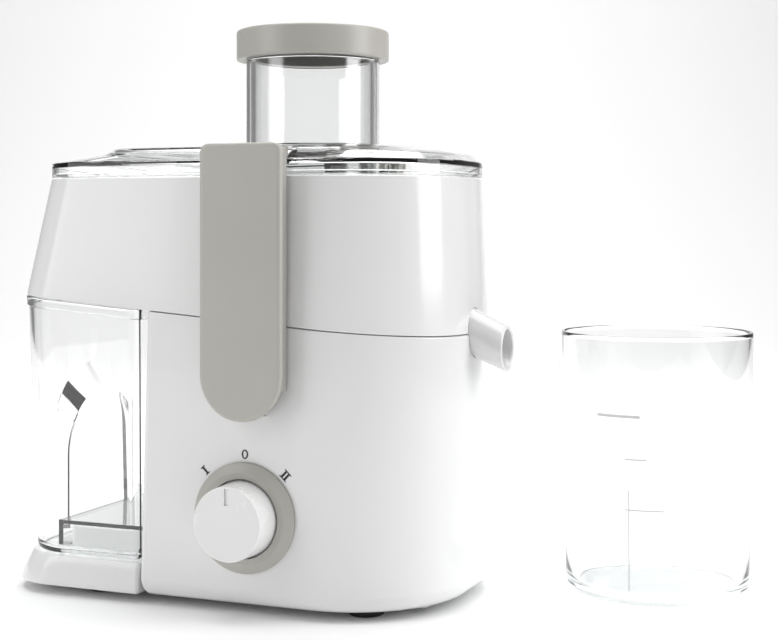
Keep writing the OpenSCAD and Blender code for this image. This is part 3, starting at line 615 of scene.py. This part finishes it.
def juice_spout():
    """Spout whose mouth is cut off upright, with rounded lips."""
    up = Vector((math.sin(SPOUT_FALL), 0, math.cos(SPOUT_FALL)))
    side = Vector((0, 1, 0))

    def ring(r, x, steps=72):
        """The tube's round outline of radius r, slid along it to the upright plane at x."""
        out = []
        for k in range(steps):
            a = 2 * math.pi * k / steps
            p = SPOUT_MOUTH + r * (math.cos(a) * side + math.sin(a) * up)
            p += SPOUT_DIR * ((x - p.x) / SPOUT_DIR.x)
            out.append(tuple(p))
        return out

    root, mouth = 62.0, SPOUT_MOUTH.x
    skin = [(SPOUT_R + 0.35, root), (SPOUT_R + 0.3, 88.0), (SPOUT_R, mouth - 1.2),
            (SPOUT_R - 0.15, mouth - 0.4), (SPOUT_R - 0.6, mouth), (SPOUT_BORE + 0.5, mouth),
            (SPOUT_BORE + 0.1, mouth - 0.4), (SPOUT_BORE, mouth - 1.2), (SPOUT_BORE, root)]
    rings = [ring(r, x) for r, x in skin]
    return build("juice_spout_tube", *stitch(rings, loop=True), "base", "white_gloss",
                 MATERIALS["white_gloss"], ["juice_spout"])


def strainer_basket():
    """Woven-looking strainer cone: crossed strands between a solid foot and the rim."""
    low_r, high_r, low_z, high_z = 44.0, 57.6, 161.5, 196.6
    rows, columns = 15, 120
    bm = bmesh.new()
    grid = []
    for i in range(rows + 1):
        t = i / rows
        r, z = low_r + (high_r - low_r) * t - 0.4, low_z + (high_z - low_z) * t
        shift = 0.5 * (i % 2)
        grid.append([bm.verts.new((r * MM * math.cos(2 * math.pi * (k + shift) / columns),
                                   r * MM * math.sin(2 * math.pi * (k + shift) / columns), z * MM))
                     for k in range(columns)])
    for i in range(rows):
        for k in range(columns):
            k2 = (k + 1) % columns
            a, b = grid[i], grid[i + 1]
            if i % 2 == 0:
                bm.faces.new((a[k], a[k2], b[k]))
                bm.faces.new((b[k], a[k2], b[k2]))
            else:
                bm.faces.new((a[k], a[k2], b[k2]))
                bm.faces.new((b[k], a[k], b[k2]))
    mesh = bpy.data.meshes.new("strainer_mesh")
    bm.to_mesh(mesh)
    bm.free()
    obj = bpy.data.objects.new("strainer_mesh", mesh)
    bpy.context.scene.collection.objects.link(obj)
    wire = obj.modifiers.new("strands", "WIREFRAME")
    wire.thickness = 0.7 * MM
    wire.use_replace = True
    apply_modifiers(obj)
    dress(obj, "rotor", MATERIALS["stainless"], ["strainer_basket"], 60)
    foot = fillet([(20, 160, 0), (44.2, 160, 0.5), (44.6, 162.2, 0.3), (43.4, 162.2, 0.2), (43, 161, 0.5),
                   (20, 161, 0)])
    return build("strainer_foot", *lathe(foot, 96), "rotor", "stainless", MATERIALS["stainless"],
                 ["strainer_basket"])


# ---------------------------------------------------------------- lid and pusher

def rounded_path(stations, shares, steps=4):
    """A path of number tuples whose inner corners are rounded, each over its share of the legs."""
    def mix(a, b, t):
        """The tuple at share t of the way from a to b."""
        return tuple(p + (q - p) * t for p, q in zip(a, b))

    out = [stations[0]]
    for before, here, after, share in zip(stations, stations[1:], stations[2:], shares):
        start, stop = mix(here, before, share), mix(here, after, share)
        for k in range(steps + 1):
            t = k / steps
            out.append(mix(mix(start, here, t), mix(here, stop, t), t))
    return out + [stations[-1]]


def lid():
    """Lid and chute in one skin, from the skirt up the side, over the top, up the chute and back inside."""
    base = (LID_LEFT, LID_RIGHT, HALF_DEPTH - 1.5, LEFT_CORNER, RIGHT_CORNER)
    top = (LID_LEFT + 33, LID_RIGHT - 20, HALF_DEPTH - 12.5, LEFT_CORNER - 3, RIGHT_CORNER - 15)
    thick = 2.2
    crown = (LID_LEFT + 30, LID_RIGHT - 6, HALF_DEPTH - 10, LEFT_CORNER - 4, RIGHT_CORNER - 10)
    inner = tuple(v + d for v, d in zip(top, (10, -10, -10, -8, -10)))
    stations = [(*base, 218.5), (*base, 222.0), (*crown, LID_TOP - 3), (*top, LID_TOP), (*inner, LID_TOP)]
    path = rounded_path(stations, (0.12, 0.2, 0.35))

    def over(station, inset=0.0):
        """Ring of the lid's skin at a station of the path, drawn in by the skin's thickness."""
        return plan_ring(station[:5], station[5] - inset, -inset)

    angles = [math.atan2(y, x) for x, y, _ in over(path[-1])]

    def circle(r, z):
        """Ring round the chute, with its points in line with those of the lid's rings."""
        return [(r * math.cos(a), r * math.sin(a), z) for a in angles]

    def mix(ring_a, ring_b, t):
        """The ring at share t of the way from ring_a to ring_b."""
        return [tuple(a + (b - a) * t for a, b in zip(p, q)) for p, q in zip(ring_a, ring_b)]

    flat_out, foot_out = over(path[-1]), circle(CHUTE_R + 3, LID_TOP)
    flat_in, foot_in = over(path[-1], thick), circle(CHUTE_R, LID_TOP - thick)
    between = (0.33, 0.66)
    rings = [plan_ring(base, SEAM + rise, grow) for rise, grow in ((0.3, -0.8), (0.5, -0.2), (1.1, 0))]
    rings += [over(p) for p in path]
    rings += [mix(flat_out, foot_out, t) for t in between]
    bore = CHUTE_R - CHUTE_WALL
    chute = [(CHUTE_R + 1.2, LID_TOP + 0.5), (CHUTE_R + 0.3, LID_TOP + 1.5), (CHUTE_R, LID_TOP + 3.2),
             (CHUTE_R, 250), (CHUTE_R, CHUTE_TOP - 0.6), (CHUTE_R - 0.4, CHUTE_TOP),
             (bore + 0.4, CHUTE_TOP), (bore, CHUTE_TOP - 0.6), (bore, 225), (bore, CHUTE_BOTTOM + 0.5),
             (bore + 0.5, CHUTE_BOTTOM), (CHUTE_R - 0.5, CHUTE_BOTTOM), (CHUTE_R, CHUTE_BOTTOM + 0.5),
             (CHUTE_R, 200)]
    rings += [foot_out] + [circle(r, z) for r, z in chute] + [foot_in]
    rings += [mix(foot_in, flat_in, t) for t in between]
    rings += [over(p, thick) for p in reversed(path[1:])]
    skirt_out, skirt_in = -WALL - 1.8, -WALL - 3.6
    skirt = ((2.6, -thick), (2.0, -thick - 0.6), (2.0, skirt_in), (-4, skirt_in), (-4, skirt_out),
             (0.3, skirt_out))
    rings += [plan_ring(base, SEAM + rise, grow) for rise, grow in skirt]
    piece = raw(*stitch(rings, loop=True), name="lid_and_chute")
    for s in (-1, 1):
        y0, y1 = sorted((s * 60.6, s * 90.0))
        pocket = raw(*box_part((-17.6, y0, 221.1), (17.6, y1, 240)))
        piece = cut(piece, pocket)
    seat = []
    for s in (-1, 1):
        y0, y1 = sorted((s * 58.8, s * 60.5))
        seat.append(box_part((-19.4, y0, 219.6), (19.4, y1, 228.4)))
        y0, y1 = sorted((s * 60.5, s * 71.0))
        seat.append(box_part((-19.4, y0, 219.6), (19.4, y1, 221.0)))
    dress(piece, "lid", MATERIALS["clear_plastic"], ["lid", "feed_chute"], 28)
    return build("lid_hook_seats", *join_parts(seat), "lid", "clear_plastic",
                 MATERIALS["clear_plastic"], ["lid"])


def pusher():
    """Clear hollow stem and the grey cap over its top."""
    low, high = mm_box("pusher_cap")
    cap_r, z0, z1 = high.x, low.z, high.z
    r, bottom = 32.7, 172.0
    cup = fillet([(0.01, bottom, 0), (r, bottom, 2.5), (r, z0 + 6, 0.4), (r - 2, z0 + 6, 0.4),
                  (r - 2, bottom + 2, 2), (0.01, bottom + 2, 0)])
    build("pusher_stem", *lathe(cup, 128, loop=False), "pusher", "clear_plastic",
          MATERIALS["clear_plastic"], ["pusher_body"], 40)
    dish_z = z1 - 0.35
    cap = fillet([(r + 0.05, z0 + 5.8, 0), (r + 0.05, z0 + 0.6, 0), (cap_r - 0.3, z0, 0.4),
                  (cap_r, z0 + 1.0, 0.5), (cap_r, z1, 2.0), (cap_r - 3.2, z1 - 0.05, 0.5),
                  (cap_r - 4, dish_z, 0.5), (0.01, dish_z, 0), (0.01, z1 - 3, 0), (r - 2, z1 - 3, 1),
                  (r - 2, z0 + 5.8, 0)], 5)
    return build("pusher_grip_cap", *lathe(cap, 144), "pusher", "warm_grey", MATERIALS["warm_grey"],
                 ["pusher_cap"])


# ---------------------------------------------------------------- clamp arms

def arm_outline(inset, y, z_from=None, round_steps=20):
    """Outline of an arm at a depth; z_from cuts the round foot off level."""
    r = ARM_HALF - inset
    foot_z = 95.4 + ARM_HALF
    top_r, top = max(4.4 - inset / 2, 0.4), 229.3 - inset
    shares = [k / round_steps for k in range(round_steps + 1)]
    if z_from is None:
        points = arc_points(0, foot_z, r, [180 + 180 * t for t in shares])
    else:
        points = [(-r + 2 * r * t, z_from) for t in shares]
    for cx, start in ((r - top_r, 0), (top_r - r, 90)):
        points += arc_points(cx, top - top_r, top_r, [start + 15 * k for k in range(7)])
    return [(x, y, z) for x, z in points]


def arm_parts():
    """Face plate, frame and pad of the front arm, as three lists of vertices and faces."""
    back_y = ARM_FACE_Y - 3.12
    face_rings = [arm_outline(i, -y) for i, y in
                  ((0.3, 80.9), (0, 81.2), (0, 82.5), (0.12, 83.1), (0.5, 83.65), (1.1, 83.95),
                   (2.2, ARM_FACE_Y))]
    face = stitch(face_rings, cap_first=True, cap_last=True)
    cut_z = 110.5
    tray = [arm_outline(i, -y, cut_z) for i, y in
            ((1.1, back_y), (1.1, 74.6), (1.4, 74.2), (3.1, 74.2), (3.4, 74.5), (3.4, 79.0))]
    frame_parts = [stitch(tray, cap_first=True, cap_last=True),
                   box_part((-19, -79.5, cut_z + 0.2), (19, -74.4, 132)),
                   bar(3.5, (-5.2, -PIVOT_Y, PIVOT_Z), (1, 0, 0), 10.4, 32),
                   box_part((-5.2, -back_y, PIVOT_Z), (5.2, -74.5, 113)),
                   box_part((-16, -80.5, 223.2), (16, -63, 228.2))]
    frame_parts += [box_part((-19, -79.5, z), (19, -74.8, z + 2)) for z in (135, 165, 195)]
    pad = box_part((-14, -70.5, 222.2), (14, -63.5, 223.2))
    return face, join_parts(frame_parts), pad


def turned(part):
    """The same part at the back: half a turn about the motor's axis."""
    verts, faces = part
    return [(-x, -y, z) for x, y, z in verts], faces


def arms():
    """Both clamp arms: the rear one is the front one turned."""
    face, inner, pad = arm_parts()
    for side, move in (("front", lambda p: p), ("rear", turned)):
        body = side + "_arm"
        build(body + "_cover", *move(face), body, "warm_grey", MATERIALS["warm_grey"], [body + "_face"], 50)
        piece = raw(*move(inner), name=body + "_body")
        dress(piece, body, MATERIALS["grey_frame"], [body + "_frame"])
        build(body + "_hook_pad", *move(pad), body, "black_rubber", MATERIALS["black_rubber"],
              [body + "_pad"])


# ---------------------------------------------------------------- speed knob

def to_front(y):
    """Placement that turns a lathe's axis to point forward from depth y at the knob's height."""
    return Matrix.Translation((KNOB_X, y, KNOB_Z)) @ Matrix.Rotation(math.radians(90), 4, "X")


def speed_knob():
    """Cupped knob, a little narrower towards the front, with a pointer groove."""
    low, high = mm_box("speed_knob")
    r, front = (high.x - low.x) / 2, low.y
    back, hollow_r = -HALF_DEPTH - 0.8, 13.5
    length = back - front
    profile = fillet([(hollow_r, 0.4, 0), (hollow_r, 0, 0), (r, 0, 0.5), (r, 1.2, 0.3), (r - 0.25, 1.6, 0.2),
                      (r - 0.8, length, 1.1), (0.01, length, 0), (0.01, length - 3, 0),
                      (hollow_r, length - 3, 0)], 6)
    knob = raw(*lathe(profile, 128, place=to_front(back)), name="speed_knob_shell")
    slot_tool = box_part((KNOB_X - 1.1, front - 1, KNOB_Z + 9.2),
                         (KNOB_X + 1.1, front + 0.9, KNOB_Z + 17.0))
    knob = cut(knob, raw(*slot_tool))
    return dress(knob, "knob", MATERIALS["knob_white"], ["speed_knob"], 40)


def speed_ring():
    """Grey ring round the knob, chamfered outwards."""
    low, high = mm_box("speed_ring")
    r = (high.x - low.x) / 2
    profile = fillet([(19.4, 0, 0), (r, 0, 0), (r, 1.6, 0.6), (r - 1.2, 2.3, 0.5), (22.6, 3.95, 0.5),
                      (19.4, 3.95, 0.3)], 4)
    return build("speed_ring_bezel", *lathe(profile, 144, place=to_front(-HALF_DEPTH - 0.25)), "base",
                 "warm_grey", MATERIALS["warm_grey"], ["speed_ring"])


def dial_marks():
    """0, I and II around the knob, a little proud of the housing's wall."""
    radius, half_h, y0, y1 = 30.8, 2.3, -HALF_DEPTH, -HALF_DEPTH - 0.24
    parts = []

    def stroke(points, turn):
        """Flat closed outline in the dial's plane, turned about the knob's axis."""
        out = []
        for x, z in points:
            z += radius
            c, s = math.cos(turn), math.sin(turn)
            out.append((x * c + z * s + KNOB_X, -x * s + z * c + KNOB_Z))
        rings = [[(x, y, z) for x, z in out] for y in (y0, y1)]
        parts.append(stitch(rings, cap_first=True, cap_last=True))

    def rect(x0, x1, z0, z1):
        """Corners of an upright rectangle."""
        return [(x0, z0), (x1, z0), (x1, z1), (x0, z1)]

    serif, line = 0.5, 0.55
    for turn, bars in ((-math.radians(45), [0.0]), (math.radians(45), [-0.95, 0.95])):
        for x in bars:
            stroke(rect(x - line, x + line, -half_h, half_h), turn)
        reach = 1.35 + max(bars)
        for z in (-half_h, half_h - serif):
            stroke(rect(-reach, reach, z, z + serif), turn)
    steps = 28
    turns = [2 * math.pi * k / steps for k in range(steps)]
    rings = []
    for inset, y in ((0, y0), (0, y1), (0.8, y1), (0.8, y0)):
        half_x, half_z = 1.75 - inset, half_h - inset * 0.75
        rings.append([(KNOB_X + half_x * math.cos(a), y, KNOB_Z + radius + half_z * math.sin(a))
                      for a in turns])
    parts.append(stitch(rings, loop=True))
    return build("dial_marks", *join_parts(parts), "base", "dark_plastic", INK)


# ---------------------------------------------------------------- pulp bin

BIN_FOOT = 20.4
BIN = Wall((-137.6, -65.2, HALF_DEPTH - 4, LEFT_CORNER - 2, 5), BIN_FOOT,
           (-142.2, -64.6, HALF_DEPTH - 2, LEFT_CORNER - 2, 5), 158.0, arc=24)
BIN_WALL = 2.2
STEP_LEFT, STEP_HALF, STEP_TOP = -115.2, 58.8, 34.3
# The grip recess at the bin's left end: half width, foot and arc centre, outside and at its floor.
GRIP_OUTSIDE = (34, 27, 80.7)
GRIP_FLOOR = (31.5, 28.5, 65.5)


def arch_ring(half_w, foot, centre, x, steps=32):
    """Upright arch outline at x."""
    points = [(half_w * math.cos(math.pi * k / steps), centre + half_w * math.sin(math.pi * k / steps))
              for k in range(steps + 1)]
    side = 6
    points += [(-half_w, centre + (foot - centre) * k / side) for k in range(1, side + 1)]
    points += [(-half_w + 2 * half_w * k / side, foot) for k in range(1, side + 1)]
    points += [(half_w, foot + (centre - foot) * k / side) for k in range(1, side)]
    return [(x, y, z) for y, z in points]


def grip_tool(grow):
    """Solid of the arched grip recess, larger by grow."""
    rings = [arch_ring(half_w + grow, foot - grow, centre, x) for (half_w, foot, centre), x in
             ((GRIP_OUTSIDE, -148.2), (GRIP_OUTSIDE, -142.2), (GRIP_FLOOR, -131.2 + grow))]
    return raw(*stitch(rings, cap_first=True, cap_last=True))


def step_tool(grow):
    """Block of the step in the bin's underside, which stands over the plinth's deck; larger by grow."""
    return raw(*box_part((STEP_LEFT - grow, -STEP_HALF - grow, 10), (-50, STEP_HALF + grow, STEP_TOP + grow)))


def solid_bin(grow, bottom, top):
    """Solid of the bin's outline, larger by grow; top is its last ring."""
    rings = [BIN.ring(grow - inset, z=bottom + rise) for inset, rise in
             ((3.2, 0), (1.6, 0.35), (0.5, 1.5), (0, 3.4))]
    rings += [BIN.ring(grow, z=80.0), top]
    return stitch(rings, cap_first=True, cap_last=True)


def pulp_bin():
    """Thin-walled bin with the grip recess, the step over the deck and a lip round the top."""
    body = raw(*solid_bin(0, BIN_FOOT, BIN.ring(0, drop=0.6)), name="pulp_bin_shell")
    hollow = raw(*solid_bin(-BIN_WALL, BIN_FOOT + BIN_WALL, BIN.ring(-BIN_WALL, z=165.0)))
    hollow = cut(hollow, step_tool(BIN_WALL))
    hollow = cut(hollow, grip_tool(BIN_WALL))
    body = cut(body, hollow)
    body = cut(body, grip_tool(0))
    body = cut(body, step_tool(0))
    body = bevel(body, 0.9, 4, 50)
    dress(body, "pulp_bin", MATERIALS["clear_plastic"], ["pulp_bin"], 40)
    lip = [BIN.ring(grow, drop=drop) for grow, drop in
           ((0.1, 5.6), (0.8, 5.4), (1, 5.0), (1, 1.2), (0.8, 0.75), (0.1, 0.65))]
    return build("pulp_bin_lip", *stitch(lip, loop=True), "pulp_bin", "clear_plastic",
                 MATERIALS["clear_plastic"], ["pulp_bin"], 50)


# ---------------------------------------------------------------- jug

JUG_X, JUG_Y, JUG_H, JUG_W, JUG_D = 171.1, 57.9, 134.5, 49.3, 49.0
JUG_TAPER = 2.0
LIP_FROM, LIP_REACH = 110.0, 4.9


def jug_ring(z, inset, steps=120):
    """Ring of the jug's wall: an oval that narrows downwards, with a pouring lip on the left."""
    narrow = JUG_TAPER * (1 - z / JUG_H) + inset
    if z < LIP_FROM:
        rise = math.exp(-((z - LIP_FROM) / 4.5) ** 2)
    else:
        rise = 1.0 - 0.85 * (z - LIP_FROM) / (JUG_H - LIP_FROM)
    out = []
    for k in range(steps):
        a = 2 * math.pi * k / steps
        x, y = (JUG_W - narrow) * math.cos(a), (JUG_D - narrow) * math.sin(a)
        swell = math.exp(-((a - math.pi) / 0.19) ** 2)
        x -= LIP_REACH * swell * rise
        out.append((JUG_X + x, JUG_Y + y, z))
    return out


def jug():
    """Clear jug in one skin, from the foot up the outside and down the inside."""
    wall, rim = 2.0, JUG_H - 0.6
    levels = [20, 40, 60, 80, 94] + list(range(98, 134, 2))
    skin = [(0.0, 5.5), (0.2, 4.2), (1.0, 2.4), (2.4, 1.0), (5.0, 0.15), (8.0, 0)]
    skin += [(z, 0) for z in levels] + [(rim, 0), (JUG_H, 0.5), (JUG_H, wall - 0.5), (rim, wall)]
    skin += [(z, wall) for z in reversed(levels)]
    skin += [(9.0, wall + 0.4), (5.5, wall + 1.6), (3.6, wall + 4), (2.8, wall + 8)]
    rings = [jug_ring(z, inset) for z, inset in skin]
    build("jug_body", *stitch(rings, cap_first=True, cap_last=True), "jug", "clear_plastic",
          JUG_CLEAR, ["jug"], 50)


def jug_marks():
    """Filling line, two graduations and the upright rib, moulded on the outside of the wall."""
    def point(z, turn, out):
        """Point at a height and an angle, that far out of the wall."""
        narrow = JUG_TAPER * (1 - z / JUG_H) - out
        a = math.radians(turn)
        return (JUG_X + (JUG_W - narrow) * math.cos(a), JUG_Y + (JUG_D - narrow) * math.sin(a), z)

    marks = {"filling line": (94.4, 95.8, -115, -88), "upper graduation": (73.6, 74.3, -97, -84),
             "lower graduation": (48.6, 49.3, -97, -74), "rib": (8.5, 58.5, -95.0, -94.3)}
    sunk, proud = -0.05, 0.25
    parts = []
    for low, high, start, end in marks.values():
        steps = max(1, round((end - start) / 1.5))
        rings = []
        for k in range(steps + 1):
            turn = start + (end - start) * k / steps
            rings.append([point(z, turn, out) for z, out in
                          ((low, sunk), (low, proud), (high, proud), (high, sunk))])
        parts.append(stitch(rings, cap_first=True, cap_last=True))
    build("jug_scale", *join_parts(parts), "jug", "clear_plastic", SCALE_MARK)


# ---------------------------------------------------------------- inner parts kept from the CAD

def dress_cad_nodes():
    """Gives every CAD node the material of its slot in the record."""
    slots = {s["node"]: s["material_slot"] for s in frame["record"]["subparts"]}
    for name, obj in frame["nodes"].items():
        material = MATERIALS[slots[name]]
        if obj.data.materials:
            for k in range(len(obj.data.materials)):
                obj.data.materials[k] = material
        else:
            obj.data.materials.append(material)


# ---------------------------------------------------------------- stage, light and camera

def stage():
    """Pale sweep that is floor in front and backdrop behind."""
    material, _, _, shader = new_material("pale_sweep")
    shader.inputs["Base Color"].default_value = (0.94, 0.94, 0.94, 1)
    shader.inputs["Roughness"].default_value = 0.9
    verts, faces = [], []
    near, bend_at, bend_r, top, half = -1.6, 1.4, 0.8, 1.9, 1.15
    profile = [(near, 0.0), (bend_at, 0.0)]
    profile += [(bend_at + bend_r * math.sin(math.radians(a)), bend_r * (1 - math.cos(math.radians(a))))
                for a in range(10, 91, 10)]
    profile.append((bend_at + bend_r, top))
    yaw = math.radians(CAMERA_YAW)
    for v, z in profile:
        for u in (-half, half):
            verts.append((u * math.cos(yaw) - v * math.sin(yaw), u * math.sin(yaw) + v * math.cos(yaw), z))
    for i in range(len(profile) - 1):
        faces.append((2 * i, 2 * i + 1, 2 * i + 3, 2 * i + 2))
    mesh = bpy.data.meshes.new("sweep")
    mesh.from_pydata(verts, [], faces)
    mesh.shade_smooth()
    mesh.materials.append(material)
    sweep = bpy.data.objects.new("sweep", mesh)
    bpy.context.scene.collection.objects.link(sweep)


def area_light(name, where, target, size, power, size_y=None):
    """A soft light at where, aimed at target."""
    light = bpy.data.lights.new(name, "AREA")
    light.energy = power
    light.size = size
    if size_y:
        light.shape = "RECTANGLE"
        light.size_y = size_y
    obj = bpy.data.objects.new(name, light)
    bpy.context.scene.collection.objects.link(obj)
    obj.location = where
    obj.rotation_euler = (Vector(target) - Vector(where)).to_track_quat("-Z", "Y").to_euler()
    return obj


CAMERA_YAW = 22.0


def light_and_camera():
    """Two side boxes, a soft top light, a wash on the backdrop, and a camera right of the front."""
    world = bpy.data.worlds.new("studio")
    bpy.context.scene.world = world
    world.use_nodes = True
    background = world.node_tree.nodes["Background"]
    background.inputs["Color"].default_value = (1, 1, 1, 1)
    background.inputs["Strength"].default_value = 0.25
    middle = Vector((0.0, 0.0, 0.14))
    yaw = math.radians(CAMERA_YAW)
    right = Vector((math.cos(yaw), math.sin(yaw), 0))
    ahead = Vector((-math.sin(yaw), math.cos(yaw), 0))
    up = Vector((0, 0, 1))
    area_light("box_right", right * 1.25 - ahead * 0.25 + up * 0.75, middle, 0.7, 12.5, 1.3)
    area_light("box_left", -right * 1.2 - ahead * 0.55 + up * 0.7, middle, 0.7, 7.0, 1.3)
    area_light("top_soft", ahead * 0.25 + up * 1.8, middle, 1.6, 26)
    area_light("back_wash", ahead * 0.9 + up * 1.9, ahead * 2.2 + up * 0.4, 1.4, 14)
    camera = bpy.data.cameras.new("camera")
    camera.sensor_width = 36.0
    camera.lens = 69.409
    camera.clip_start = 0.05
    camera.shift_y = -0.1221
    obj = bpy.data.objects.new("camera", camera)
    bpy.context.scene.collection.objects.link(obj)
    distance, aside, eye = 0.795, 0.0403, 0.1899
    obj.location = right * aside - ahead * distance + Vector((0, 0, eye))
    obj.rotation_euler = (math.radians(90), 0, yaw)
    bpy.context.scene.camera = obj
    bpy.context.scene.view_settings.view_transform = "Standard"


dress_cad_nodes()
motor_housing()
motor_housing_inside()
upper_housing()
hood_inside()
base_plate()
feet()
juice_bowl()
juice_spout()
strainer_basket()
lid()
pusher()
arms()
speed_knob()
speed_ring()
dial_marks()
pulp_bin()
jug()
jug_marks()
stage()
light_and_camera()
